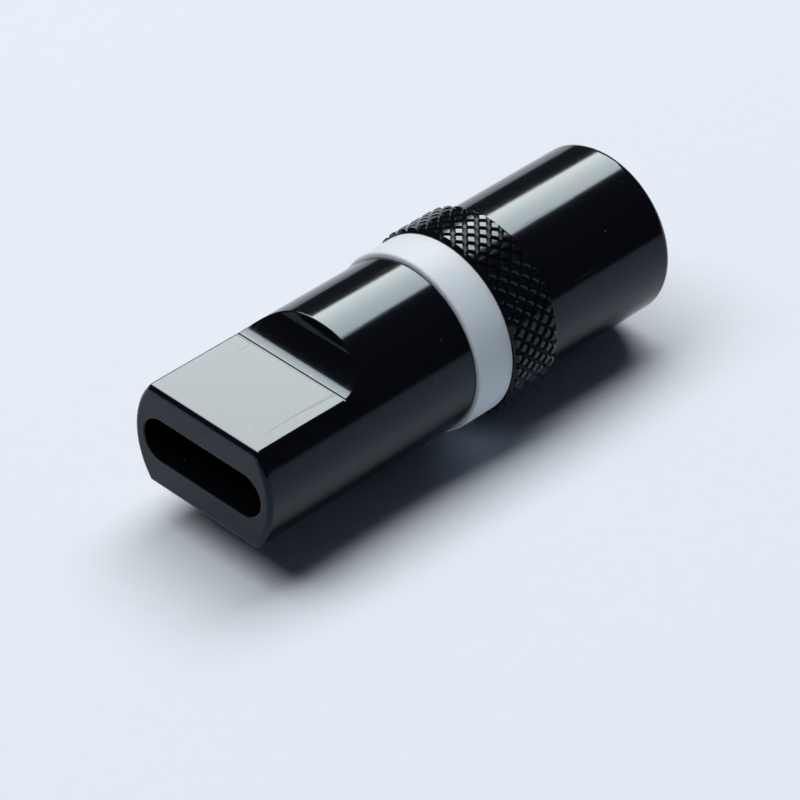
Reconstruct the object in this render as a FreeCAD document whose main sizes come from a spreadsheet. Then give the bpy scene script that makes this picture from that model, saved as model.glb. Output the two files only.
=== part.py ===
import FreeCAD, Part
import math
import os

import Sketcher
from FreeCAD import Vector

# Housing of a plug for the small oval port, turned and milled from aluminium bar, with a light ring.
# The plug's axis runs along X: the slotted front face looks to -X and the cable leaves at +X.
# The pieces are drawn round that axis, with x counted from the front face, and are then placed
# so that the origin lies under the middle of the housing, on the surface that it rests on.

# Driving dimensions in millimetres, degrees or plain counts: name, value, what it is
DIMENSIONS = [
    ("slot_width", 8.54, "width of the slot that the plug's tongue comes through"),
    ("slot_height", 2.54, "height of the slot"),
    ("slot_break", 0.1, "chamfer of the slot's mouth"),
    ("side_wall", 0.73, "wall beside the slot, at the widest part of the barrel"),
    ("flat_wall", 1.83, "wall above and below the slot, under each milled flat"),
    ("flat_length", 6.33, "length of the straight part of each flat"),
    ("runout_radius", 1.88, "radius of the cutter where each flat runs out"),
    ("face_round", 0.3, "rounding of the edge round the front face"),
    ("front_length", 15.0, "length of the front shell"),
    ("shell_rear_chamfer", 0.12, "chamfer of the front shell's rear edge"),
    ("bore_land", 0.59, "distance from the end of the flats to the start of the round bore"),
    ("shell_wall", 0.8, "wall of the front shell round its bore"),
    ("bore_chamfer", 0.15, "chamfer of the front shell's bore at its mouth"),
    ("ring_step", 0.235, "height of the light ring's flange above the barrel"),
    ("ring_width", 2.54, "width of the light ring's flange"),
    ("ring_chamfer", 0.2, "chamfer of the flange's two edges"),
    ("glue_gap", 0.03, "radial gap for the glue between the front shell and the light ring"),
    ("front_spigot", 2.6, "length of the spigot in the front shell"),
    ("rear_spigot", 2.4, "length of the threaded spigot in the rear sleeve"),
    ("spigot_chamfer", 0.2, "chamfer of the spigots at their ends"),
    ("spigot_wall", 0.6, "wall of the threaded spigot round the lamp board's recess"),
    ("seat_ledge", 0.5, "width of the ledge that the lamp board lies against"),
    ("seat_depth", 1.6, "distance from the flange's front face to the ledge"),
    ("thread_wall", 0.75, "wall of the rear sleeve's barrel if the threaded bore ran through it"),
    ("thread_gap", 0.05, "radial clearance of the screwed joint"),
    ("thread_end_gap", 0.4, "distance from the spigot's end to the end of the threaded bore"),
    ("knurl_step", 0.215, "height of the knurl's tops above the light ring"),
    ("collar_length", 3.36, "length of the knurled collar"),
    ("collar_front_chamfer", 0.2, "chamfer of the collar's front edge"),
    ("collar_rear_chamfer", 0.27, "chamfer of the collar's rear edge"),
    ("knurl_teeth", 38, "number of grooves of either hand round the collar"),
    ("knurl_angle", 45.0, "angle of the grooves to the axis"),
    ("knurl_depth", 0.15, "depth of the grooves"),
    ("tooth_share", 0.55, "share of the pitch that stays as the tooth's top"),
    ("rear_length", 9.43, "length of the rear barrel behind the collar"),
    ("rear_round", 0.5, "rounding of the rear edge"),
    ("sleeve_wall", 1.1, "wall of the rear sleeve round its hollow"),
    ("cable_radius", 3.0, "radius of the cable's hole"),
    ("cable_wall", 3.0, "thickness of the end wall that the cable's hole goes through"),
    ("cable_chamfer", 0.3, "chamfer of the cable's hole at the rear"),
    ("board_gap", 0.05, "radial clearance round the lamp board"),
    ("board_width", 1.13, "width of the lamp board from its outer edge to its hole"),
    ("board_thickness", 0.6, "thickness of the lamp board"),
    ("led_count", 4, "number of lamps on the lamp board"),
    ("led_length", 1.0, "length of a lamp along the board's edge"),
    ("led_depth", 0.5, "size of a lamp along the board's radius"),
    ("led_base", 0.2, "thickness of a lamp's base"),
    ("led_lens", 0.25, "height of a lamp's lens"),
    ("led_lens_length", 0.7, "length of a lamp's lens"),
    ("led_margin", 0.05, "distance from the board's hole to a lamp"),
    ("resistor_length", 1.0, "length of the resistor"),
    ("resistor_width", 0.5, "width of the resistor"),
    ("resistor_height", 0.3, "height of the resistor's base"),
    ("resistor_coat", 0.05, "thickness of the coat on the resistor"),
    ("resistor_coat_length", 0.6, "length of the coat on the resistor"),
    ("resistor_margin", 0.33, "distance from the board's hole to the resistor"),
]

# Radii and heights, as expressions of the sheet, from the outside inwards
BARREL = "(Dimensions.slot_width / 2 + Dimensions.side_wall)"
FLAT = "(Dimensions.slot_height / 2 + Dimensions.flat_wall)"
RING = "(" + BARREL + " + Dimensions.ring_step)"
KNURL = "(" + RING + " + Dimensions.knurl_step)"
BORE = "(" + BARREL + " - Dimensions.shell_wall)"
GLUED_SPIGOT = "(" + BORE + " - Dimensions.glue_gap)"
THREAD_BORE = "(" + BARREL + " - Dimensions.thread_wall)"
THREADED_SPIGOT = "(" + THREAD_BORE + " - Dimensions.thread_gap)"
HOLLOW = "(" + BARREL + " - Dimensions.sleeve_wall)"
CABLE_MOUTH = "(Dimensions.cable_radius + Dimensions.cable_chamfer)"
RECESS = "(" + THREADED_SPIGOT + " - Dimensions.spigot_wall)"
RING_BORE = "(" + RECESS + " - Dimensions.seat_ledge)"
BOARD_EDGE = "(" + RECESS + " - Dimensions.board_gap)"
BOARD_HOLE = "(" + BOARD_EDGE + " - Dimensions.board_width)"

# Places along the axis, as expressions of the sheet, from the front face backwards
BORE_START = "(Dimensions.flat_length + Dimensions.runout_radius + Dimensions.bore_land)"
RING_END = "(Dimensions.front_length + Dimensions.ring_width)"
BOARD_FRONT = "(Dimensions.front_length + Dimensions.seat_depth)"
BOARD_REAR = "(" + BOARD_FRONT + " + Dimensions.board_thickness)"
SPIGOT_END = "(" + RING_END + " + Dimensions.rear_spigot)"
THREAD_END = "(" + SPIGOT_END + " + Dimensions.thread_end_gap)"
COLLAR_END = "(" + RING_END + " + Dimensions.collar_length)"
TOTAL_LENGTH = "(" + COLLAR_END + " + Dimensions.rear_length)"
CABLE_WALL = "(" + TOTAL_LENGTH + " - Dimensions.cable_wall)"

# How far a cutting shape runs past the face that it cuts
OVERRUN = 1.0
# How near two places are that count as the same
CLOSE = 1e-4
# Straight spans that make up each groove of the knurl along its helix
KNURL_SPANS = 5
# Turns, in degrees, at which the grooves of the two hands start, with a tooth lowest at the collar's front
RIGHT_PHASE = 1.3
LEFT_PHASE = -1.3

doc = FreeCAD.newDocument("plug_housing")


def add_sheet():
    """Writes the driving dimensions into the sheet, one a row, each with its alias."""
    sheet = doc.addObject("Spreadsheet::Sheet", "Dimensions")
    for row, (alias, value, note) in enumerate(DIMENSIONS, start=1):
        sheet.set("A%d" % row, alias)
        sheet.set("B%d" % row, str(value))
        sheet.set("C%d" % row, note)
        sheet.setAlias("B%d" % row, alias)
    doc.recompute()
    return sheet


sheet = add_sheet()


def number(expression):
    """Gives the value that an expression of the sheet has now."""
    return float(sheet.evalExpression(expression))


def dim(alias):
    return "Dimensions." + alias


def place(piece, turn=0.0):
    """Turns a finished piece about the plug's axis and sets it in the housing's frame."""
    piece.Placement = FreeCAD.Placement(Vector(), FreeCAD.Rotation(Vector(1, 0, 0), turn))
    piece.setExpression("Placement.Base.x", "-" + TOTAL_LENGTH + " / 2")
    piece.setExpression("Placement.Base.z", KNURL)


def origin_plane(body, role):
    for feature in body.Origin.OriginFeatures:
        if feature.Role == role:
            return feature
    raise ValueError(role)


def add_body(name):
    body = doc.addObject("PartDesign::Body", name)
    body.Label = name
    return body


def add_sketch(body, name, role):
    sketch = body.newObject("Sketcher::SketchObject", name)
    sketch.AttachmentSupport = [(origin_plane(body, role), "")]
    sketch.MapMode = "FlatFace"
    return sketch


def hold(sketch, kind, *where, by):
    """Adds a dimension to a sketch and binds it to an expression of the sheet."""
    index = sketch.addConstraint(Sketcher.Constraint(kind, *where, number(by)))
    sketch.setExpression("Constraints[%d]" % index, by)


def outline(body, name, corners):
    """Draws a closed outline in the XZ plane through corners given as (along, out) expressions."""
    sketch = add_sketch(body, name, "XZ_Plane")
    points = [Vector(number(along), number(out), 0) for along, out in corners]
    for index, point in enumerate(points):
        sketch.addGeometry(Part.LineSegment(point, points[(index + 1) % len(points)]))
    for index in range(len(points)):
        sketch.addConstraint(Sketcher.Constraint("Coincident", index, 2, (index + 1) % len(points), 1))
    for index, (along, out) in enumerate(corners):
        hold(sketch, "DistanceX", index, 1, by=along)
        hold(sketch, "DistanceY", index, 1, by=out)
    return sketch


def turned(body, kind, name, corners):
    """Turns an outline round the plug's axis, as a Revolution or as a Groove."""
    sketch = outline(body, name + "_outline", corners)
    feature = body.newObject("PartDesign::" + kind, name)
    feature.Profile = sketch
    feature.ReferenceAxis = (sketch, ["H_Axis"])
    feature.Angle = 360
    doc.recompute()
    return feature


def edges_where(feature, test):
    """Names the edges of a feature that pass a test."""
    return ["Edge%d" % index for index, edge in enumerate(feature.Shape.Edges, start=1) if test(edge)]


def at_x(edge, along):
    """Tells whether an edge lies in the plane at a place along the axis."""
    return abs(edge.BoundBox.XMin - along) < CLOSE and abs(edge.BoundBox.XMax - along) < CLOSE


def in_slot(edge):
    """Tells whether an edge is no wider and no further up or down than the slot."""
    box = edge.BoundBox
    wide = box.YMax < number(dim("slot_width")) / 2 + CLOSE
    return wide and abs(box.ZMax + box.ZMin) / 2 < number(dim("slot_height")) / 2 + CLOSE


def dress(body, kind, name, base, edges, by):
    """Rounds or chamfers the named edges of a feature by a size of the sheet."""
    feature = body.newObject("PartDesign::" + kind, name)
    feature.Base = (base, edges)
    feature.setExpression("Radius" if kind == "Fillet" else "Size", by)
    doc.recompute()
    return feature


def add_flats(body):
    """Mills the two flats, each with its concave run-out, across the front of the shell."""
    sketch = add_sketch(body, "flat_outline", "XZ_Plane")
    low = number(FLAT)
    end = number(dim("flat_length"))
    radius = number(dim("runout_radius"))
    high = low + radius + OVERRUN
    side = end + radius
    start = Vector(-OVERRUN, low, 0)
    sketch.addGeometry(Part.LineSegment(start, Vector(end, low, 0)))
    circle = Part.Circle(Vector(end, low + radius, 0), Vector(0, 0, 1), radius)
    sketch.addGeometry(Part.ArcOfCircle(circle, math.radians(270), math.radians(360)))
    sketch.addGeometry(Part.LineSegment(Vector(side, low + radius, 0), Vector(side, high, 0)))
    sketch.addGeometry(Part.LineSegment(Vector(side, high, 0), Vector(-OVERRUN, high, 0)))
    sketch.addGeometry(Part.LineSegment(Vector(-OVERRUN, high, 0), start))
    floor, runout, wall, top, mouth = range(5)
    sketch.addConstraint([
        Sketcher.Constraint("Tangent", floor, 2, runout, 1),
        Sketcher.Constraint("Tangent", runout, 2, wall, 1),
        Sketcher.Constraint("Coincident", wall, 2, top, 1),
        Sketcher.Constraint("Coincident", top, 2, mouth, 1),
        Sketcher.Constraint("Coincident", mouth, 2, floor, 1),
        Sketcher.Constraint("Horizontal", floor),
        Sketcher.Constraint("Vertical", wall),
        Sketcher.Constraint("Horizontal", top),
        Sketcher.Constraint("DistanceX", floor, 1, -OVERRUN),
        Sketcher.Constraint("Vertical", mouth),
    ])
    hold(sketch, "DistanceY", floor, 1, by=FLAT)
    hold(sketch, "DistanceX", runout, 1, by=dim("flat_length"))
    hold(sketch, "Radius", runout, by=dim("runout_radius"))
    hold(sketch, "DistanceY", mouth, 1, by="%s + %s + %s" % (FLAT, dim("runout_radius"), OVERRUN))
    flat = body.newObject("PartDesign::Pocket", "upper_flat")
    flat.Profile = sketch
    flat.Type = "ThroughAll"
    flat.SideType = "Symmetric"
    doc.recompute()
    mirrored = body.newObject("PartDesign::Mirrored", "both_flats")
    mirrored.Originals = [flat]
    mirrored.MirrorPlane = (origin_plane(body, "XY_Plane"), [""])
    body.Tip = mirrored
    doc.recompute()
    return mirrored


def add_slot(body):
    """Cuts the round-ended slot from the front face into the bore."""
    sketch = add_sketch(body, "slot_outline", "YZ_Plane")
    radius = number(dim("slot_height")) / 2
    centre = number(dim("slot_width")) / 2 - radius
    right_circle = Part.Circle(Vector(centre, 0, 0), Vector(0, 0, 1), radius)
    left_circle = Part.Circle(Vector(-centre, 0, 0), Vector(0, 0, 1), radius)
    sketch.addGeometry(Part.ArcOfCircle(right_circle, math.radians(-90), math.radians(90)))
    sketch.addGeometry(Part.LineSegment(Vector(centre, radius, 0), Vector(-centre, radius, 0)))
    sketch.addGeometry(Part.ArcOfCircle(left_circle, math.radians(90), math.radians(270)))
    sketch.addGeometry(Part.LineSegment(Vector(-centre, -radius, 0), Vector(centre, -radius, 0)))
    right, top, left, bottom = range(4)
    sketch.addConstraint([
        Sketcher.Constraint("Tangent", right, 2, top, 1),
        Sketcher.Constraint("Tangent", top, 2, left, 1),
        Sketcher.Constraint("Tangent", left, 2, bottom, 1),
        Sketcher.Constraint("Tangent", bottom, 2, right, 1),
        Sketcher.Constraint("Horizontal", top),
        Sketcher.Constraint("Symmetric", right, 3, left, 3, -1, 1),
    ])
    hold(sketch, "Radius", right, by=dim("slot_height") + " / 2")
    hold(sketch, "DistanceX", right, 3, by="(%s - %s) / 2" % (dim("slot_width"), dim("slot_height")))
    slot = body.newObject("PartDesign::Pocket", "slot")
    slot.Profile = sketch
    slot.Type = "Length"
    slot.Reversed = True
    slot.setExpression("Length", "%s + %s" % (BORE_START, OVERRUN))
    doc.recompute()
    return slot


def front_shell():
    """The front half: a turned barrel with two milled flats, a slot in its face and a bore behind it."""
    body = add_body("front_shell")
    circle = add_sketch(body, "barrel_outline", "YZ_Plane")
    circle.addGeometry(Part.Circle(Vector(), Vector(0, 0, 1), number(BARREL)))
    circle.addConstraint(Sketcher.Constraint("Coincident", 0, 3, -1, 1))
    hold(circle, "Radius", 0, by=BARREL)
    barrel = body.newObject("PartDesign::Pad", "barrel")
    barrel.Profile = circle
    barrel.setExpression("Length", dim("front_length"))
    doc.recompute()
    flats = add_flats(body)
    rim = edges_where(flats, lambda edge: at_x(edge, 0))
    face = dress(body, "Fillet", "face_edge", flats, rim, dim("face_round"))
    length = number(dim("front_length"))
    rear_rim = edges_where(face, lambda edge: at_x(edge, length))
    dress(body, "Chamfer", "rear_edge", face, rear_rim, dim("shell_rear_chamfer"))
    mouth = "(%s + %s)" % (BORE, dim("bore_chamfer"))
    turned(body, "Groove", "bore", [
        (BORE_START, "0"),
        (BORE_START, BORE),
        (dim("front_length") + " - " + dim("bore_chamfer"), BORE),
        (dim("front_length"), mouth),
        (dim("front_length") + " + %s" % OVERRUN, mouth),
        (dim("front_length") + " + %s" % OVERRUN, "0"),
    ])
    slot = add_slot(body)
    slot_rim = edges_where(slot, lambda edge: at_x(edge, 0) and in_slot(edge))
    dress(body, "Chamfer", "slot_mouth", slot, slot_rim, dim("slot_break"))
    place(body)
    return body


def light_ring():
    """The frosted ring between the halves: a flange with a spigot on each side and a lamp seat inside."""
    body = add_body("light_ring")
    front_end = "(%s - %s)" % (dim("front_length"), dim("front_spigot"))
    ring = turned(body, "Revolution", "ring", [
        (front_end, RING_BORE),
        (front_end, GLUED_SPIGOT + " - " + dim("spigot_chamfer")),
        (front_end + " + " + dim("spigot_chamfer"), GLUED_SPIGOT),
        (dim("front_length"), GLUED_SPIGOT),
        (dim("front_length"), RING),
        (RING_END, RING),
        (RING_END, THREADED_SPIGOT),
        (SPIGOT_END + " - " + dim("spigot_chamfer"), THREADED_SPIGOT),
        (SPIGOT_END, THREADED_SPIGOT + " - " + dim("spigot_chamfer")),
        (SPIGOT_END, RECESS),
        (BOARD_FRONT, RECESS),
        (BOARD_FRONT, RING_BORE),
    ])
    rims = edges_where(ring, lambda edge: edge.BoundBox.XLength < CLOSE
                       and abs(edge.BoundBox.ZMax - number(RING)) < CLOSE)
    dress(body, "Chamfer", "flange_edges", ring, rims, dim("ring_chamfer"))
    place(body)
    return body


def groove_section(along, turn):
    """One cross-section of the knurl's grooved bar: a V for each groove, and peaks above the tooth tops."""
    teeth = int(number(dim("knurl_teeth")))
    step = 2 * math.pi / teeth
    depth = number(dim("knurl_depth"))
    root = number(KNURL) - depth
    peak = root + depth / (1 - number(dim("tooth_share")))
    points = []
    for tooth in range(teeth):
        for radius, angle in ((peak, tooth * step + turn), (root, (tooth + 0.5) * step + turn)):
            points.append(Vector(along, radius * math.cos(angle), radius * math.sin(angle)))
    return Part.makePolygon(points + points[:1])


def grooved_bar(name, hand, phase):
    """A bar with helical grooves of one hand, a little longer than the collar."""
    start = number(RING_END) - OVERRUN
    length = number(dim("collar_length")) + 2 * OVERRUN
    twist = hand * length * math.tan(math.radians(number(dim("knurl_angle")))) / number(KNURL)
    sections = []
    for span in range(KNURL_SPANS + 1):
        share = span / KNURL_SPANS
        sections.append(groove_section(start + length * share, math.radians(phase) + twist * share))
    bar = doc.addObject("Part::Feature", name)
    bar.Shape = Part.makeLoft(sections, True, True)
    return bar


def rear_sleeve():
    """The rear half, turned in one piece: the knurled collar, the barrel and the hollow for the cable."""
    blank = add_body("collar_blank")
    turned(blank, "Revolution", "collar", [
        (RING_END, "0"),
        (RING_END, KNURL + " - " + dim("collar_front_chamfer")),
        (RING_END + " + " + dim("collar_front_chamfer"), KNURL),
        (COLLAR_END + " - " + dim("collar_rear_chamfer"), KNURL),
        (COLLAR_END, KNURL + " - " + dim("collar_rear_chamfer")),
        (COLLAR_END, "0"),
    ])
    knurled = doc.addObject("Part::MultiCommon", "knurled_collar")
    knurled.Shapes = [
        blank,
        grooved_bar("right_hand_grooves", 1, RIGHT_PHASE),
        grooved_bar("left_hand_grooves", -1, LEFT_PHASE),
    ]
    barrel = add_body("rear_barrel")
    tube = turned(barrel, "Revolution", "tube", [
        (COLLAR_END, "0"),
        (COLLAR_END, BARREL),
        (TOTAL_LENGTH, BARREL),
        (TOTAL_LENGTH, "0"),
    ])
    rim = edges_where(tube, lambda edge: at_x(edge, number(TOTAL_LENGTH)))
    dress(barrel, "Fillet", "rear_rim", tube, rim, dim("rear_round"))
    outside = doc.addObject("Part::MultiFuse", "sleeve_outside")
    outside.Shapes = [knurled, barrel]
    hollow = add_body("sleeve_hollow")
    turned(hollow, "Revolution", "hollow", [
        (RING_END + " - %s" % OVERRUN, "0"),
        (RING_END + " - %s" % OVERRUN, THREAD_BORE),
        (THREAD_END, THREAD_BORE),
        (THREAD_END, HOLLOW),
        (CABLE_WALL, HOLLOW),
        (CABLE_WALL, dim("cable_radius")),
        (TOTAL_LENGTH + " - " + dim("cable_chamfer"), dim("cable_radius")),
        (TOTAL_LENGTH, CABLE_MOUTH),
        (TOTAL_LENGTH + " + %s" % OVERRUN, CABLE_MOUTH),
        (TOTAL_LENGTH + " + %s" % OVERRUN, "0"),
    ])
    sleeve = doc.addObject("Part::Cut", "rear_sleeve")
    sleeve.Label = "rear_sleeve"
    sleeve.Base = outside
    sleeve.Tool = hollow
    place(sleeve)
    return sleeve


def lamp_board():
    """The ring-shaped board that carries the lamps, lying in the light ring's recess."""
    body = add_body("lamp_board")
    turned(body, "Revolution", "board", [
        (BOARD_FRONT, BOARD_HOLE),
        (BOARD_FRONT, BOARD_EDGE),
        (BOARD_REAR, BOARD_EDGE),
        (BOARD_REAR, BOARD_HOLE),
    ])
    place(body)
    return body


def block(name, along, thick, wide, deep, margin):
    """A block of given sizes that starts at a place along the axis, its inner side near the board's hole."""
    box = doc.addObject("Part::Box", name)
    box.setExpression("Length", thick)
    box.setExpression("Width", wide)
    box.setExpression("Height", deep)
    box.setExpression("Placement.Base.x", along)
    box.setExpression("Placement.Base.y", "-(%s) / 2" % wide)
    box.setExpression("Placement.Base.z", "%s + %s" % (BOARD_HOLE, margin))
    return box


def chip(name, blocks, turn):
    """A small soldered piece made of two blocks, turned to its place on the lamp board."""
    piece = doc.addObject("Part::MultiFuse", name)
    piece.Label = name
    piece.Shapes = blocks
    place(piece, turn)
    return piece


def lamp(index, turn):
    """One lamp on the board's front face: a flat base with a lens on it."""
    name = "lamp_led_%d" % index
    base = block(name + "_base", BOARD_FRONT + " - " + dim("led_base"), dim("led_base"),
                 dim("led_length"), dim("led_depth"), dim("led_margin"))
    lens = block(name + "_lens", "%s - %s - %s" % (BOARD_FRONT, dim("led_base"), dim("led_lens")),
                 dim("led_lens"), dim("led_lens_length"), dim("led_depth"), dim("led_margin"))
    return chip(name, [base, lens], turn)


def lamp_resistor(turn):
    """The lamps' resistor, on the board's rear face: a ceramic base with a coat on its top."""
    base = block("resistor_base", BOARD_REAR, dim("resistor_height"), dim("resistor_length"),
                 dim("resistor_width"), dim("resistor_margin"))
    coat = block("resistor_coat", "%s + %s" % (BOARD_REAR, dim("resistor_height")), dim("resistor_coat"),
                 dim("resistor_coat_length"), dim("resistor_width"), dim("resistor_margin"))
    return chip("lamp_resistor", [base, coat], turn)


def build():
    """Makes every piece of the housing."""
    pieces = [front_shell(), light_ring(), rear_sleeve(), lamp_board()]
    lamps = int(number(dim("led_count")))
    for index in range(lamps):
        pieces.append(lamp(index + 1, index * 360 / lamps))
    pieces.append(lamp_resistor(180))
    doc.recompute()
    return pieces


def check(pieces):
    """Stops if any object failed or any piece isn't one valid solid."""
    for item in doc.Objects:
        if "Invalid" in item.State or "Error" in item.State:
            raise RuntimeError("%s failed: %s" % (item.Name, item.State))
    for piece in pieces:
        shape = piece.Shape
        if shape.isNull() or not shape.isValid() or len(shape.Solids) != 1:
            raise RuntimeError(piece.Label + " is not one valid solid")


pieces = build()
check(pieces)
os.makedirs("parts", exist_ok=True)
for piece in pieces:
    piece.Shape.exportStep("parts/%s.step" % piece.Label)
    print(piece.Label, "volume %.1f mm3, %d faces" % (piece.Shape.Volume, len(piece.Shape.Faces)))
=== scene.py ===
import math

import bmesh
import bpy
from mathutils import Matrix, Vector


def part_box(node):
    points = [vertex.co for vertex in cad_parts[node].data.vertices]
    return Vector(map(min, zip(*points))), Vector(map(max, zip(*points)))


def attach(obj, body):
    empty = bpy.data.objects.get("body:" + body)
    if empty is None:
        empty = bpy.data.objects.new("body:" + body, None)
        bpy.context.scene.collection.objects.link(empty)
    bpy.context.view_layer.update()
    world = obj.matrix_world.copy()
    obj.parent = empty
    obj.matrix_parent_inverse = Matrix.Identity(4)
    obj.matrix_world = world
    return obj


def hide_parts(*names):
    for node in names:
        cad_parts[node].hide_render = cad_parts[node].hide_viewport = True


# Housing of a plug for the small oval port: a milled front shell, a frosted light ring and a rear sleeve
# with a knurled collar. Pieces are drawn in millimetres along X from the front face, with the plug's axis
# at height 0, and are then brought into the frame.

MM = 0.001

# Smoothness of the turned pieces and their rounded edges
SHELL_SIDES = 120
RING_SIDES = 192
SLEEVE_SIDES = 304
FINE_STEPS = 3
ROUND_STEPS = 6
SOFT_STEPS = 8
SHARP_TURN = math.radians(20)
SMOOTH_TURN = math.radians(28)
FACE_WEIGHT = 100

# How near two places are that count as the same, and that are merged
CLOSE = 1e-3
MERGE = 1e-4

# How far a cutting shape runs past the face that it cuts
OVERRUN = 1.0

# Front shell
FLAT_HEIGHT = 3.1
FLAT_LENGTH = 6.33
RUNOUT_RADIUS = 1.88
RUNOUT_STEPS = 40
FACE_ROUND = 0.3
SLOT_WIDTH = 8.54
SLOT_HEIGHT = 2.54
SLOT_STEPS = 24
SLOT_BREAK = 0.1
BORE_START = 8.8
BORE_RADIUS = 4.2
BORE_CHAMFER = 0.15
SHELL_REAR_ROUND = 0.12
EDGE_BREAK = 0.08
WITNESS_WIDTH = 0.12
WITNESS_DEPTH = 0.05
WITNESS_TOOL_HEIGHT = 0.1

# Light ring
FLANGE_START = 15.0
FLANGE_END = 17.54
FLANGE_ROUND = 0.13
SPIGOT_START = 12.4
SPIGOT_RADIUS = 4.17
THREAD_RADIUS = 4.2
THREAD_END = 19.94
SPIGOT_CHAMFER = 0.2
RING_BORE = 3.1
RECESS_RADIUS = 3.6
RECESS_START = 16.6

# Rear sleeve
COLLAR_END = 20.9
COLLAR_FRONT_CHAMFER = 0.2
COLLAR_REAR_CHAMFER = 0.27
TEETH = 38
GROOVE_DEPTH = 0.15
TOOTH_SHARE = 0.55
GROOVE_SPANS = 24
RIGHT_PHASE = math.radians(1.3)
LEFT_PHASE = math.radians(-1.3)
THREADED_BORE = 4.25
THREADED_END = 20.34
HOLLOW_RADIUS = 3.9
HOLLOW_END = 27.33
CABLE_RADIUS = 3.0
CABLE_CHAMFER = 0.3
REAR_ROUND = 0.5

# Camera, at the photograph's angle
CAMERA_AZIMUTH = math.radians(43.635)
CAMERA_ELEVATION = math.radians(37.694)
CAMERA_ROLL = math.radians(1.214)
CAMERA_DISTANCE = 215.127
CAMERA_TARGET = (12.443, -1.932, -1.332)
CAMERA_LENS = 185.11
SENSOR_WIDTH = 36.0
CLIP_START = 0.01
CLIP_END = 20.0

# Light: an overhead lamp lights the object and the floor, and a window is what the gloss mirrors.
# Sizes and shifts are shares of the lamps' distance.
LAMP_DISTANCE = 1.0
OVERHEAD_AZIMUTH = math.radians(82)
OVERHEAD_ELEVATION = math.radians(74)
OVERHEAD_SIZE = (1.7, 0.6)
OVERHEAD_RADIANCE = 4.55
OVERHEAD_COLOUR = (1.0, 1.0, 1.0)
WINDOW_AZIMUTH = math.radians(42)
WINDOW_ELEVATION = math.radians(43)
WINDOW_MIDDLE = (0.14, 0.05)
WINDOW_SIZE = (1.0, 0.556)
WINDOW_RADIANCE = 17.6
WINDOW_COLOUR = (0.97, 0.96, 0.86)
ROOM_COLOUR = (0.032, 0.038, 0.052)

# Floor
FLOOR_SIZE = 4.0
FLOOR_COLOUR = (0.775, 0.83, 0.895)
FLOOR_ROUGHNESS = 0.9
FLOOR_MOTTLE = 0.01

# Black anodised aluminium
ANODISE_IOR = 1.34
ANODISE_ROUGHNESS = 0.09
TOOL_RINGS_PER_MM = 16.0
TOOL_RING_DEPTH = 0.0004
GRAIN_SHARE = 0.35
GLOSS_RANGE = (0.75, 1.3)
HAZE_ROUGHNESS = 0.12
SCRATCH_ROUGHNESS = 0.16
SCRATCH_EDGE = 14.0
BLACK_DYE = (0.003, 0.0035, 0.005)
BLACK_TINT = (0.58, 0.77, 1.0)
DUST_COLOUR = (0.16, 0.16, 0.17)

# Frosted plastic
FROSTED_LOW = (0.60, 0.67, 0.73)
FROSTED_HIGH = (0.64, 0.70, 0.75)
FROSTED_IOR = 1.49
FROSTED_ROUGHNESS = 0.6
FROSTED_ROUGHNESS_RANGE = (0.5, 0.7)
FROSTED_GLOSS = 0.2
FROSTED_GRAIN_DEPTH = 0.01
LIGHT_REACH = 0.9

# Small lamp parts
SMALL_GRAIN_DEPTH = 0.004
SMALL_GLOSS_RANGE = (0.8, 1.2)


def clear_selection():
    """Deselects all, because the loaded frame leaves its nodes selected and a tool acts on them too."""
    bpy.ops.object.select_all(action="DESELECT")


def take(piece):
    """Makes a piece the only one selected."""
    clear_selection()
    piece.select_set(True)
    bpy.context.view_layer.objects.active = piece


def start_edit(piece):
    take(piece)
    bpy.ops.object.mode_set(mode="EDIT")
    bpy.ops.mesh.select_mode(type="EDGE")


def end_edit():
    bpy.ops.object.mode_set(mode="OBJECT")


def select_edges(piece, test, sharp=0.0):
    """Selects the edges whose two ends pass a test by place, and that turn by at least an angle."""
    bpy.ops.mesh.select_all(action="DESELECT")
    mesh = bmesh.from_edit_mesh(piece.data)
    for edge in mesh.edges:
        if all(test(vertex.co) for vertex in edge.verts):
            if not sharp or (edge.is_manifold and edge.calc_face_angle() > sharp):
                edge.select_set(True)
    bmesh.update_edit_mesh(piece.data)


def bevel_edges(piece, test, width, steps=ROUND_STEPS):
    """Rounds the sharp edges that pass a test by place."""
    start_edit(piece)
    select_edges(piece, test, SHARP_TURN)
    bpy.ops.mesh.bevel(offset=width, segments=steps, profile=0.5, affect="EDGES", clamp_overlap=False)
    end_edit()


def turned(name, sides, stations):
    """Turns a piece about X: a circle is extruded from each (along, radius) station to the next."""
    clear_selection()
    along, radius = stations[0]
    bpy.ops.mesh.primitive_circle_add(
        vertices=sides, radius=radius, location=(along, 0, 0), rotation=(0, math.radians(90), 0))
    piece = bpy.context.object
    piece.name = name
    piece.data.name = name
    bpy.ops.object.transform_apply(location=True, rotation=True, scale=True)
    bpy.ops.object.mode_set(mode="EDIT")
    bpy.ops.mesh.select_all(action="SELECT")
    for (last_along, last_radius), (along, radius) in zip(stations, stations[1:]):
        bpy.ops.mesh.extrude_region_move(TRANSFORM_OT_translate={"value": (along - last_along, 0, 0)})
        scale = radius / last_radius
        bpy.ops.transform.resize(value=(1, scale, scale), center_override=(along, 0, 0))
    if stations[0] == stations[-1]:
        bpy.ops.mesh.select_all(action="SELECT")
        bpy.ops.mesh.remove_doubles(threshold=MERGE)
    else:
        for along, radius in (stations[0], stations[-1]):
            select_edges(piece, lambda co: abs(co.x - along) < CLOSE and abs(co.yz.length - radius) < CLOSE)
            bpy.ops.mesh.edge_face_add()
    bpy.ops.mesh.select_all(action="SELECT")
    bpy.ops.mesh.normals_make_consistent(inside=False)
    end_edit()
    return piece


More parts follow.
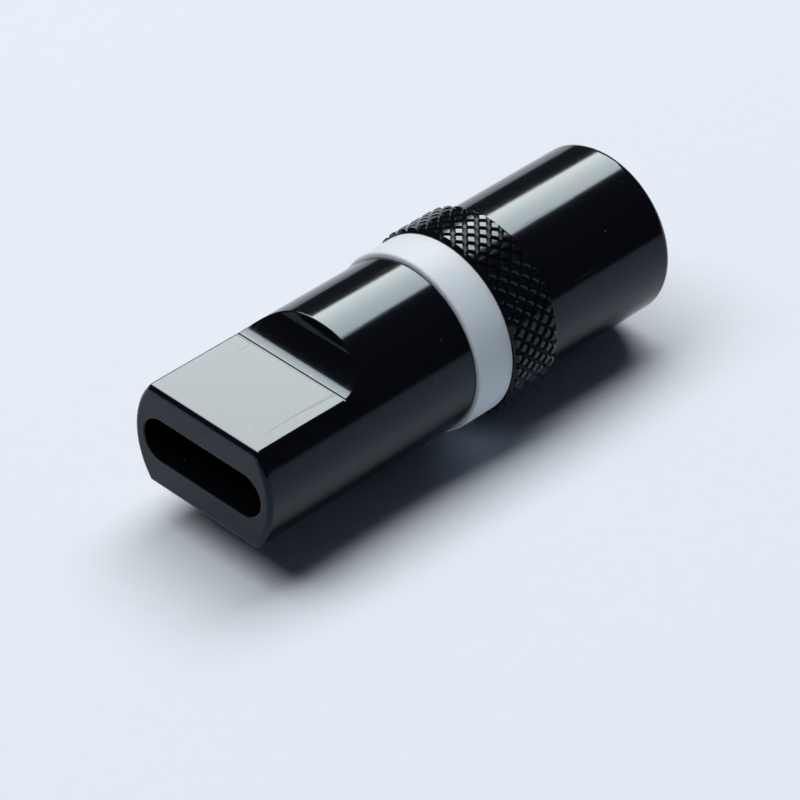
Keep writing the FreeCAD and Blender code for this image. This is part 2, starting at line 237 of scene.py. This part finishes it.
def block(name, low, high):
    """Adds a box between two corners."""
    clear_selection()
    middle = [(a + b) / 2 for a, b in zip(low, high)]
    bpy.ops.mesh.primitive_cube_add(size=1, location=middle, scale=[b - a for a, b in zip(low, high)])
    tool = bpy.context.object
    tool.name = name
    bpy.ops.object.transform_apply(location=True, rotation=True, scale=True)
    return tool


def cut(piece, tool):
    """Cuts a tool out of a piece and throws the tool away."""
    take(piece)
    bpy.ops.object.modifier_add(type="BOOLEAN")
    modifier = piece.modifiers[-1]
    modifier.operation = "DIFFERENCE"
    modifier.solver = "EXACT"
    modifier.object = tool
    bpy.ops.object.modifier_apply(modifier=modifier.name)
    bpy.data.objects.remove(tool)


def finish_piece(piece):
    """Smooths a piece, keeps its broad faces flat to the eye, and brings it into the frame."""
    take(piece)
    bpy.ops.object.shade_smooth_by_angle(angle=SMOOTH_TURN)
    bpy.ops.object.modifier_add(type="WEIGHTED_NORMAL")
    modifier = piece.modifiers[-1]
    modifier.weight = FACE_WEIGHT
    modifier.keep_sharp = True
    bpy.ops.object.modifier_apply(modifier=modifier.name)
    piece.scale = (MM, MM, MM)
    piece.location = frame_place
    bpy.ops.object.transform_apply(location=True, rotation=True, scale=True)


def flat_tool(side):
    """The milling cutter's path over one flat, with the cutter's round end where the flat runs out."""
    end = FLAT_LENGTH + RUNOUT_RADIUS
    low = FLAT_HEIGHT
    high = barrel_radius + OVERRUN
    tool = block("flat_tool", (-OVERRUN, -high, low), (end, high, high + RUNOUT_RADIUS))
    bevel_edges(tool, lambda co: abs(co.x - end) < CLOSE and abs(co.z - low) < CLOSE,
                RUNOUT_RADIUS, RUNOUT_STEPS)
    start_edit(tool)
    bpy.ops.mesh.select_all(action="SELECT")
    if side < 0:
        bpy.ops.transform.resize(value=(1, 1, -1), center_override=(0, 0, 0))
        bpy.ops.mesh.normals_make_consistent(inside=False)
    end_edit()
    return tool


def witness_tool(side):
    """The thin line across a flat where the straight cut meets the run-out."""
    deep = FLAT_HEIGHT - WITNESS_DEPTH
    low, high = sorted((side * deep, side * (deep + WITNESS_TOOL_HEIGHT)))
    reach = barrel_radius + OVERRUN
    return block("witness_tool", (FLAT_LENGTH - WITNESS_WIDTH / 2, -reach, low),
                 (FLAT_LENGTH + WITNESS_WIDTH / 2, reach, high))


def slot_tool():
    """The round-ended slot, from before the front face into the bore."""
    half_width = SLOT_WIDTH / 2
    half_height = SLOT_HEIGHT / 2
    tool = block("slot_tool", (-OVERRUN, -half_width, -half_height),
                 (BORE_START + OVERRUN, half_width, half_height))
    start_edit(tool)
    bpy.ops.mesh.select_all(action="DESELECT")
    mesh = bmesh.from_edit_mesh(tool.data)
    for edge in mesh.edges:
        edge.select_set(abs(edge.verts[0].co.x - edge.verts[1].co.x) > CLOSE)
    bmesh.update_edit_mesh(tool.data)
    bpy.ops.mesh.bevel(offset=half_height - CLOSE, segments=SLOT_STEPS, profile=0.5, affect="EDGES")
    end_edit()
    return tool


def in_slot(co):
    return abs(co.y) < SLOT_WIDTH / 2 + CLOSE and abs(co.z) < SLOT_HEIGHT / 2 + CLOSE


def on_flat_edge(co):
    """Tells whether a point lies where a flat or its run-out meets the round barrel."""
    on_barrel = abs(co.yz.length - barrel_radius) < 2 * CLOSE
    along_flat = FACE_ROUND - CLOSE < co.x < FLAT_LENGTH + RUNOUT_RADIUS + CLOSE
    return on_barrel and along_flat and abs(co.z) > FLAT_HEIGHT - CLOSE


def make_front_shell():
    """The front shell: two milled flats with concave run-outs, a slot in the face and a bore behind it."""
    shell = turned("milled_front_shell", SHELL_SIDES, [
        (0, barrel_radius),
        (FLANGE_START, barrel_radius),
        (FLANGE_START, BORE_RADIUS + BORE_CHAMFER),
        (FLANGE_START - BORE_CHAMFER, BORE_RADIUS),
        (BORE_START, BORE_RADIUS),
    ])
    bevel_edges(shell, lambda co: abs(co.x - FLANGE_START) < CLOSE and co.yz.length > barrel_radius - CLOSE,
                SHELL_REAR_ROUND, FINE_STEPS)
    for side in (1, -1):
        cut(shell, flat_tool(side))
    bevel_edges(shell, lambda co: abs(co.x) < CLOSE, FACE_ROUND)
    for side in (1, -1):
        cut(shell, witness_tool(side))
    cut(shell, slot_tool())
    bevel_edges(shell, lambda co: abs(co.x) < CLOSE and in_slot(co), SLOT_BREAK)
    bevel_edges(shell, on_flat_edge, EDGE_BREAK, FINE_STEPS)
    return shell


def make_light_ring():
    """The frosted ring: a flange with softly rounded edges, a spigot on each side and a lamp seat inside."""
    ring = turned("frosted_light_ring", RING_SIDES, [
        (SPIGOT_START, RING_BORE),
        (SPIGOT_START, SPIGOT_RADIUS - SPIGOT_CHAMFER),
        (SPIGOT_START + SPIGOT_CHAMFER, SPIGOT_RADIUS),
        (FLANGE_START, SPIGOT_RADIUS),
        (FLANGE_START, ring_radius),
        (FLANGE_END, ring_radius),
        (FLANGE_END, THREAD_RADIUS),
        (THREAD_END - SPIGOT_CHAMFER, THREAD_RADIUS),
        (THREAD_END, THREAD_RADIUS - SPIGOT_CHAMFER),
        (THREAD_END, RECESS_RADIUS),
        (RECESS_START, RECESS_RADIUS),
        (RECESS_START, RING_BORE),
        (SPIGOT_START, RING_BORE),
    ])
    bevel_edges(ring, lambda co: co.yz.length > ring_radius - CLOSE, FLANGE_ROUND, SOFT_STEPS)
    return ring


def turn_about_axis(angle, along):
    """Turns what is selected about the plug's axis. With no window the tool's own sign is the other one."""
    bpy.ops.transform.rotate(value=-angle, orient_axis="X", center_override=(along, 0, 0))


def groove_tool(hand, phase):
    """A tube-shaped cutter with the helical ridges of one hand on its inside, one for each groove."""
    start = FLANGE_END - OVERRUN
    length = COLLAR_END - FLANGE_END + 2 * OVERRUN
    root = knurl_radius - GROOVE_DEPTH
    peak = root + GROOVE_DEPTH / (1 - TOOTH_SHARE)
    outside = 2 * knurl_radius
    twist = hand * length / knurl_radius
    clear_selection()
    bpy.ops.mesh.primitive_circle_add(vertices=2 * TEETH, radius=peak, location=(start, 0, 0),
                                      rotation=(0, math.radians(90), 0))
    tool = bpy.context.object
    bpy.ops.object.transform_apply(location=True, rotation=True, scale=True)
    bpy.ops.object.mode_set(mode="EDIT")
    bpy.ops.mesh.select_mode(type="VERT")
    bpy.ops.mesh.select_all(action="DESELECT")
    mesh = bmesh.from_edit_mesh(tool.data)
    half_step = math.pi / TEETH
    for vertex in mesh.verts:
        place = round(math.atan2(vertex.co.z, vertex.co.y) / half_step)
        vertex.select_set(place % 2 == 1)
    bmesh.update_edit_mesh(tool.data)
    bpy.ops.transform.resize(value=(1, root / peak, root / peak), center_override=(start, 0, 0))
    bpy.ops.mesh.select_all(action="SELECT")
    turn_about_axis(phase, start)
    span = length / GROOVE_SPANS
    for step in range(GROOVE_SPANS):
        bpy.ops.mesh.extrude_region_move(TRANSFORM_OT_translate={"value": (span, 0, 0)})
        turn_about_axis(twist / GROOVE_SPANS, start)
    bpy.ops.mesh.extrude_region_move(TRANSFORM_OT_translate={"value": (0, 0, 0)})
    bpy.ops.transform.resize(value=(1, outside / peak, outside / peak),
                             center_override=(start + length, 0, 0))
    for step in range(GROOVE_SPANS):
        bpy.ops.mesh.extrude_region_move(TRANSFORM_OT_translate={"value": (-span, 0, 0)})
        turn_about_axis(-twist / GROOVE_SPANS, start)
    bpy.ops.mesh.extrude_region_move(TRANSFORM_OT_translate={"value": (0, 0, 0)})
    bpy.ops.transform.resize(value=(1, peak / outside, peak / outside), center_override=(start, 0, 0))
    bpy.ops.mesh.select_all(action="SELECT")
    bpy.ops.mesh.remove_doubles(threshold=CLOSE)
    bpy.ops.mesh.normals_make_consistent(inside=False)
    end_edit()
    return tool


def make_rear_sleeve():
    """The rear sleeve: the diamond-knurled collar, the barrel, and the hollow with the cable's hole."""
    sleeve = turned("knurled_rear_sleeve", SLEEVE_SIDES, [
        (FLANGE_END, THREADED_BORE),
        (FLANGE_END, knurl_radius - COLLAR_FRONT_CHAMFER),
        (FLANGE_END + COLLAR_FRONT_CHAMFER, knurl_radius),
        (COLLAR_END - COLLAR_REAR_CHAMFER, knurl_radius),
        (COLLAR_END, knurl_radius - COLLAR_REAR_CHAMFER),
        (COLLAR_END, barrel_radius),
        (total_length, barrel_radius),
        (total_length, CABLE_RADIUS + CABLE_CHAMFER),
        (total_length - CABLE_CHAMFER, CABLE_RADIUS),
        (HOLLOW_END, CABLE_RADIUS),
        (HOLLOW_END, HOLLOW_RADIUS),
        (THREADED_END, HOLLOW_RADIUS),
        (THREADED_END, THREADED_BORE),
        (FLANGE_END, THREADED_BORE),
    ])
    bevel_edges(sleeve, lambda co: abs(co.x - total_length) < CLOSE and co.yz.length > barrel_radius - CLOSE,
                REAR_ROUND, SOFT_STEPS)
    cut(sleeve, groove_tool(1, RIGHT_PHASE))
    cut(sleeve, groove_tool(-1, LEFT_PHASE))
    return sleeve


def new_group(name, inputs, outputs):
    """Starts a shader node group with named inputs, each with its value, and named outputs."""
    group = bpy.data.node_groups.new(name, "ShaderNodeTree")
    for label, kind, value in inputs:
        socket = group.interface.new_socket(label, in_out="INPUT", socket_type=kind)
        socket.default_value = value
    for label, kind in outputs:
        group.interface.new_socket(label, in_out="OUTPUT", socket_type=kind)
    start = group.nodes.new("NodeGroupInput")
    end = group.nodes.new("NodeGroupOutput")
    return group, start, end


def math_node(group, operation, *values):
    """Adds a Math node whose inputs are sockets or plain numbers."""
    node = group.nodes.new("ShaderNodeMath")
    node.operation = operation
    for socket, value in zip(node.inputs, values):
        if isinstance(value, (int, float)):
            socket.default_value = value
        else:
            group.links.new(value, socket)
    return node.outputs[0]


def object_coordinates(tree):
    return tree.nodes.new("ShaderNodeTexCoord").outputs["Object"]


def make_turning_group():
    """Rings left by a lathe tool along X: a height, and a mask of how far each ring is from the mean."""
    group, start, end = new_group(
        "turning_marks",
        [("Rings per mm", "NodeSocketFloat", 18.0), ("Unevenness", "NodeSocketFloat", 0.5)],
        [("Height", "NodeSocketFloat"), ("Mask", "NodeSocketFloat")])
    parts = group.nodes.new("ShaderNodeSeparateXYZ")
    group.links.new(object_coordinates(group), parts.inputs[0])
    rate = math_node(group, "MULTIPLY", start.outputs["Rings per mm"], 1 / MM)
    place = math_node(group, "MULTIPLY", parts.outputs["X"], rate)
    rings = group.nodes.new("ShaderNodeTexNoise")
    rings.noise_dimensions = "1D"
    rings.inputs["Scale"].default_value = 1.0
    rings.inputs["Detail"].default_value = 3.0
    group.links.new(place, rings.inputs["W"])
    slow = group.nodes.new("ShaderNodeTexNoise")
    slow.inputs["Scale"].default_value = 350.0
    slow.inputs["Detail"].default_value = 2.0
    group.links.new(object_coordinates(group), slow.inputs["Vector"])
    share = math_node(group, "MULTIPLY", slow.outputs[0], start.outputs["Unevenness"])
    height = math_node(group, "ADD", rings.outputs[0], share)
    group.links.new(height, end.inputs["Height"])
    group.links.new(rings.outputs[0], end.inputs["Mask"])
    return group


def make_scratch_group():
    """Sparse fine scratches that run lengthwise, as handling leaves them."""
    group, start, end = new_group(
        "lengthwise_scratches",
        [("Scratches per mm", "NodeSocketFloat", 5.0), ("Stretch", "NodeSocketFloat", 0.05),
         ("Threshold", "NodeSocketFloat", 0.66)],
        [("Mask", "NodeSocketFloat")])
    rate = math_node(group, "MULTIPLY", start.outputs["Scratches per mm"], 1 / MM)
    slow_rate = math_node(group, "MULTIPLY", rate, start.outputs["Stretch"])
    parts = group.nodes.new("ShaderNodeSeparateXYZ")
    group.links.new(object_coordinates(group), parts.inputs[0])
    place = group.nodes.new("ShaderNodeCombineXYZ")
    for axis, share in (("X", slow_rate), ("Y", rate), ("Z", rate)):
        group.links.new(math_node(group, "MULTIPLY", parts.outputs[axis], share), place.inputs[axis])
    streaks = group.nodes.new("ShaderNodeTexNoise")
    streaks.inputs["Scale"].default_value = 1.0
    streaks.inputs["Detail"].default_value = 3.0
    group.links.new(place.outputs[0], streaks.inputs["Vector"])
    above = math_node(group, "SUBTRACT", streaks.outputs[0], start.outputs["Threshold"])
    mask = math_node(group, "MULTIPLY", above, SCRATCH_EDGE)
    mask.node.use_clamp = True
    group.links.new(mask, end.inputs["Mask"])
    return group


def make_grain_group():
    """Fine pitted grain of an oxide layer or a matt moulded face."""
    group, start, end = new_group(
        "fine_grain",
        [("Grains per mm", "NodeSocketFloat", 12.0), ("Contrast", "NodeSocketFloat", 1.0)],
        [("Height", "NodeSocketFloat"), ("Mask", "NodeSocketFloat")])
    rate = math_node(group, "MULTIPLY", start.outputs["Grains per mm"], 1 / MM)
    grain = group.nodes.new("ShaderNodeTexNoise")
    grain.inputs["Detail"].default_value = 4.0
    grain.inputs["Roughness"].default_value = 0.6
    group.links.new(object_coordinates(group), grain.inputs["Vector"])
    group.links.new(rate, grain.inputs["Scale"])
    centred = math_node(group, "SUBTRACT", grain.outputs[0], 0.5)
    height = math_node(group, "MULTIPLY", centred, start.outputs["Contrast"])
    group.links.new(height, end.inputs["Height"])
    group.links.new(grain.outputs[0], end.inputs["Mask"])
    return group


def make_dust_group():
    """Sparse specks of dust and a faint handling haze."""
    group, start, end = new_group(
        "dust_and_haze",
        [("Specks per mm", "NodeSocketFloat", 1.2), ("Speck size", "NodeSocketFloat", 0.05),
         ("Haze", "NodeSocketFloat", 0.3)],
        [("Specks", "NodeSocketFloat"), ("Haze", "NodeSocketFloat")])
    rate = math_node(group, "MULTIPLY", start.outputs["Specks per mm"], 1 / MM)
    cells = group.nodes.new("ShaderNodeTexVoronoi")
    group.links.new(object_coordinates(group), cells.inputs["Vector"])
    group.links.new(rate, cells.inputs["Scale"])
    specks = math_node(group, "LESS_THAN", cells.outputs["Distance"], start.outputs["Speck size"])
    group.links.new(specks, end.inputs["Specks"])
    cloud = group.nodes.new("ShaderNodeTexNoise")
    cloud.inputs["Scale"].default_value = 220.0
    cloud.inputs["Detail"].default_value = 5.0
    group.links.new(object_coordinates(group), cloud.inputs["Vector"])
    haze = math_node(group, "MULTIPLY", cloud.outputs[0], start.outputs["Haze"])
    group.links.new(haze, end.inputs["Haze"])
    return group


def new_material(name, colour, roughness, ior=1.5):
    """Starts a material with a plain shader and returns its tree and shader."""
    material = bpy.data.materials.new(name)
    material.use_nodes = True
    shader = material.node_tree.nodes["Principled BSDF"]
    shader.inputs["Base Color"].default_value = (*colour, 1)
    shader.inputs["Roughness"].default_value = roughness
    shader.inputs["IOR"].default_value = ior
    material.diffuse_color = (*colour, 1)
    return material, material.node_tree, shader


def use_group(tree, group, **values):
    """Places a shared group in a material with its own values, given with spaces as underscores."""
    node = tree.nodes.new("ShaderNodeGroup")
    node.node_tree = group
    for label, value in values.items():
        node.inputs[label.replace("_", " ")].default_value = value
    return node


def spread(tree, mask, low, high):
    """Maps a mask from 0 to 1 onto a range."""
    node = tree.nodes.new("ShaderNodeMapRange")
    node.inputs["To Min"].default_value = low
    node.inputs["To Max"].default_value = high
    tree.links.new(mask, node.inputs["Value"])
    return node.outputs[0]


def blend_colours(tree, shader, mask, low, high):
    """Colours a shader between two colours by a mask."""
    blend = tree.nodes.new("ShaderNodeMix")
    blend.data_type = "RGBA"
    blend.inputs["A"].default_value = (*low, 1)
    blend.inputs["B"].default_value = (*high, 1)
    tree.links.new(mask, blend.inputs["Factor"])
    tree.links.new(blend.outputs["Result"], shader.inputs["Base Color"])


def add_bump(tree, shader, height, depth):
    """Gives a shader a bump whose depth is in millimetres."""
    bump = tree.nodes.new("ShaderNodeBump")
    bump.inputs["Distance"].default_value = depth * MM
    tree.links.new(height, bump.inputs["Height"])
    tree.links.new(bump.outputs["Normal"], shader.inputs["Normal"])


def make_anodise():
    """Black anodised aluminium: a dark dyed oxide with tool marks, grain, scratches and a little dust."""
    material, tree, shader = new_material("turned_black_anodise", BLACK_DYE, ANODISE_ROUGHNESS, ANODISE_IOR)
    shader.inputs["Specular Tint"].default_value = (*BLACK_TINT, 1)
    marks = use_group(tree, turning_marks, Rings_per_mm=TOOL_RINGS_PER_MM, Unevenness=0.4)
    grain = use_group(tree, fine_grain, Grains_per_mm=14.0, Contrast=1.0)
    dust = use_group(tree, dust_and_haze, Specks_per_mm=0.9, Speck_size=0.03, Haze=0.35)
    scratches = use_group(tree, lengthwise_scratches, Scratches_per_mm=4.0, Stretch=0.04, Threshold=0.64)
    height = math_node(tree, "MULTIPLY_ADD", grain.outputs["Height"], GRAIN_SHARE, marks.outputs["Height"])
    add_bump(tree, shader, height, TOOL_RING_DEPTH)
    low, high = [ANODISE_ROUGHNESS * share for share in GLOSS_RANGE]
    gloss = spread(tree, marks.outputs["Mask"], low, high)
    hazed = math_node(tree, "MULTIPLY_ADD", dust.outputs["Haze"], HAZE_ROUGHNESS, gloss)
    scuffed = math_node(tree, "MULTIPLY_ADD", scratches.outputs["Mask"], SCRATCH_ROUGHNESS, hazed)
    tree.links.new(scuffed, shader.inputs["Roughness"])
    blend_colours(tree, shader, dust.outputs["Specks"], BLACK_DYE, DUST_COLOUR)
    return material


def make_frosted_plastic():
    """Frosted translucent plastic of the light ring."""
    material, tree, shader = new_material("frosted_plastic", FROSTED_LOW, FROSTED_ROUGHNESS, FROSTED_IOR)
    shader.inputs["Specular IOR Level"].default_value = FROSTED_GLOSS
    shader.inputs["Subsurface Weight"].default_value = 0.8
    shader.inputs["Subsurface Radius"].default_value = (1.0, 1.0, 1.0)
    shader.inputs["Subsurface Scale"].default_value = LIGHT_REACH * MM
    grain = use_group(tree, fine_grain, Grains_per_mm=9.0, Contrast=1.0)
    dust = use_group(tree, dust_and_haze, Specks_per_mm=0.8, Speck_size=0.02, Haze=0.3)
    add_bump(tree, shader, grain.outputs["Height"], FROSTED_GRAIN_DEPTH)
    gloss = spread(tree, dust.outputs["Haze"], *FROSTED_ROUGHNESS_RANGE)
    tree.links.new(gloss, shader.inputs["Roughness"])
    blend_colours(tree, shader, grain.outputs["Mask"], FROSTED_LOW, FROSTED_HIGH)
    return material


def make_small_part(name, colour, other, roughness):
    """A moulded, coated or printed finish for the small lamp parts."""
    material, tree, shader = new_material(name, colour, roughness)
    grain = use_group(tree, fine_grain, Grains_per_mm=20.0, Contrast=1.0)
    dust = use_group(tree, dust_and_haze, Specks_per_mm=1.5, Speck_size=0.02, Haze=0.4)
    add_bump(tree, shader, grain.outputs["Height"], SMALL_GRAIN_DEPTH)
    blend_colours(tree, shader, grain.outputs["Mask"], colour, other)
    low, high = [roughness * share for share in SMALL_GLOSS_RANGE]
    gloss = spread(tree, dust.outputs["Haze"], low, high)
    tree.links.new(gloss, shader.inputs["Roughness"])
    return material


def add_floor():
    """The plain pale surface that the housing lies on."""
    clear_selection()
    bpy.ops.mesh.primitive_plane_add(size=FLOOR_SIZE, location=(0, 0, 0))
    floor = bpy.context.object
    floor.name = "pale_floor"
    material, tree, shader = new_material("pale_floor", FLOOR_COLOUR, FLOOR_ROUGHNESS)
    shader.inputs["Specular IOR Level"].default_value = 0.1
    noise = tree.nodes.new("ShaderNodeTexNoise")
    noise.inputs["Scale"].default_value = 900.0
    tree.links.new(object_coordinates(tree), noise.inputs["Vector"])
    darker = [(1 - FLOOR_MOTTLE) * value for value in FLOOR_COLOUR]
    lighter = [(1 + FLOOR_MOTTLE) * value for value in FLOOR_COLOUR]
    blend_colours(tree, shader, noise.outputs[0], darker, lighter)
    floor.data.materials.append(material)


def direction(azimuth, elevation):
    """Points outwards at an azimuth from +X and an elevation, both in radians."""
    flat = math.cos(elevation)
    return Vector((flat * math.cos(azimuth), flat * math.sin(azimuth), math.sin(elevation)))


def add_lamp(name, azimuth, elevation, middle, size, radiance, colour):
    """Adds a soft rectangular lamp that faces the object, moved by shares of its distance."""
    towards = direction(azimuth, elevation)
    across = Vector((-math.sin(azimuth), math.cos(azimuth), 0))
    upward = towards.cross(across)
    place = LAMP_DISTANCE * (towards + across * middle[0] + upward * middle[1])
    clear_selection()
    bpy.ops.object.light_add(type="AREA", location=place)
    lamp = bpy.context.object
    lamp.name = name
    lamp.matrix_world = Matrix.Translation(place) @ Matrix((across, upward, towards)).transposed().to_4x4()
    lamp.data.shape = "RECTANGLE"
    lamp.data.size = LAMP_DISTANCE * size[0]
    lamp.data.size_y = LAMP_DISTANCE * size[1]
    lamp.data.energy = radiance * math.pi * lamp.data.size * lamp.data.size_y
    lamp.data.color = colour
    return lamp


def add_lamps():
    """A soft lamp overhead for the light and shadow, and a window that only the gloss mirrors."""
    overhead = add_lamp("soft_overhead", OVERHEAD_AZIMUTH, OVERHEAD_ELEVATION, (0, 0), OVERHEAD_SIZE,
                        OVERHEAD_RADIANCE, OVERHEAD_COLOUR)
    overhead.visible_glossy = False
    window = add_lamp("soft_window", WINDOW_AZIMUTH, WINDOW_ELEVATION, WINDOW_MIDDLE, WINDOW_SIZE,
                      WINDOW_RADIANCE, WINDOW_COLOUR)
    window.visible_diffuse = False


def add_world():
    """The dim room that the dark faces mirror."""
    world = bpy.data.worlds.new("dim_room")
    world.use_nodes = True
    room = world.node_tree.nodes["Background"]
    room.inputs["Color"].default_value = (*ROOM_COLOUR, 1)
    room.inputs["Strength"].default_value = 1.0
    bpy.context.scene.world = world


def add_camera():
    """The camera, at the photograph's angle and distance."""
    turn = Matrix.Rotation(CAMERA_AZIMUTH - math.radians(90), 4, "Z")
    tip = Matrix.Rotation(math.radians(90) - CAMERA_ELEVATION, 4, "X")
    roll = Matrix.Rotation(CAMERA_ROLL, 4, "Z")
    forward = direction(CAMERA_AZIMUTH, -CAMERA_ELEVATION)
    target = frame_place + MM * Vector(CAMERA_TARGET)
    clear_selection()
    bpy.ops.object.camera_add()
    camera = bpy.context.object
    camera.name = "camera"
    camera.matrix_world = Matrix.Translation(target - MM * CAMERA_DISTANCE * forward) @ turn @ tip @ roll
    camera.data.lens = CAMERA_LENS
    camera.data.sensor_width = SENSOR_WIDTH
    camera.data.clip_start = CLIP_START
    camera.data.clip_end = CLIP_END
    bpy.context.scene.camera = camera


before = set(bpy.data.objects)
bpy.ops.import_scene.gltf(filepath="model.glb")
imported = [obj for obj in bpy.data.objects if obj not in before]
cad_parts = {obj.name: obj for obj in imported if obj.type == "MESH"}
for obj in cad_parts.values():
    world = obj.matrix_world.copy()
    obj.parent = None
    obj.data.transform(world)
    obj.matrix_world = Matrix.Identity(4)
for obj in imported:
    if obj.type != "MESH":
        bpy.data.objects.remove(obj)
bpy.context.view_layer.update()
shell_low, shell_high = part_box("front_shell")
ring_low, ring_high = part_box("light_ring")
sleeve_low, sleeve_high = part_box("rear_sleeve")
barrel_radius = (shell_high[1] - shell_low[1]) / 2 / MM
ring_radius = (ring_high[1] - ring_low[1]) / 2 / MM
knurl_radius = (sleeve_high[1] - sleeve_low[1]) / 2 / MM
total_length = (sleeve_high[0] - shell_low[0]) / MM
frame_place = Vector((shell_low[0], 0, (shell_low[2] + shell_high[2]) / 2))

turning_marks = make_turning_group()
fine_grain = make_grain_group()
dust_and_haze = make_dust_group()
lengthwise_scratches = make_scratch_group()
turned_black = make_anodise()
frosted_plastic = make_frosted_plastic()

shell = make_front_shell()
ring = make_light_ring()
sleeve = make_rear_sleeve()
for piece, node, body, slot, material in (
        (shell, "front_shell", "front", "black_anodised", turned_black),
        (ring, "light_ring", "front", "frosted_plastic", frosted_plastic),
        (sleeve, "rear_sleeve", "sleeve", "black_anodised", turned_black)):
    finish_piece(piece)
    piece.data.materials.append(material)
    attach(piece, body)
    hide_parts(node)

small_finishes = {
    "lamp_board": make_small_part("board_white", (0.80, 0.82, 0.80), (0.72, 0.74, 0.73), 0.35),
    "lamp_led": make_small_part("lamp_clear", (0.85, 0.82, 0.62), (0.80, 0.74, 0.45), 0.2),
    "lamp_resistor": make_small_part("resistor_black", (0.02, 0.02, 0.022), (0.05, 0.05, 0.05), 0.4),
}
for name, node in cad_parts.items():
    for start_of_name, finish in small_finishes.items():
        if name.startswith(start_of_name):
            for material_slot in node.material_slots:
                material_slot.material = finish

add_floor()
add_world()
add_lamps()
add_camera()
bpy.context.scene.view_settings.view_transform = "Standard"
